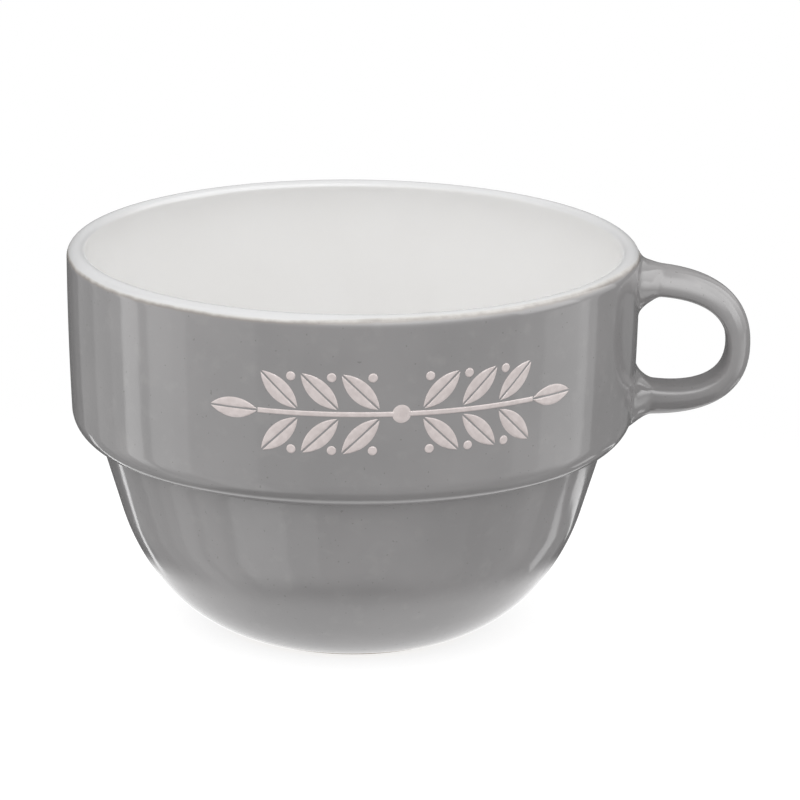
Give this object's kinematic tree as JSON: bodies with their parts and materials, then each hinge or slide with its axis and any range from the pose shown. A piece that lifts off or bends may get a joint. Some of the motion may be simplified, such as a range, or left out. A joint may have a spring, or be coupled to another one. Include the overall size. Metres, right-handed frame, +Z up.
{
  "type": "stackable cup",
  "caption": "Wide glazed stoneware cup with a straight collar, a rounded bowl that nests in the cup below, and a ring handle.",
  "frame": {"origin": "on the cup's axis, in the plane of the bare foot ring that the cup stands on", "axes": "+Z up along the cup's axis, +X towards the handle, -Y towards the side that carries the transfer"},
  "size_m": [0.1378, 0.115, 0.0782],
  "materials": {
    "stoneware": "matte",
    "slip": "matte",
    "white_glaze": "gloss",
    "grey_glaze": "gloss",
    "transfer": "gloss"
  },
  "bodies": {
    "root": {"clay_body": "stoneware", "clay_handle": "stoneware", "upper_slip_joint": "slip", "lower_slip_joint": "slip", "inner_glaze": "white_glaze", "outer_glaze": "grey_glaze", "handle_glaze": "grey_glaze", "base_glaze": "grey_glaze", "transfer_print": "transfer"}
  },
  "joints": []
}
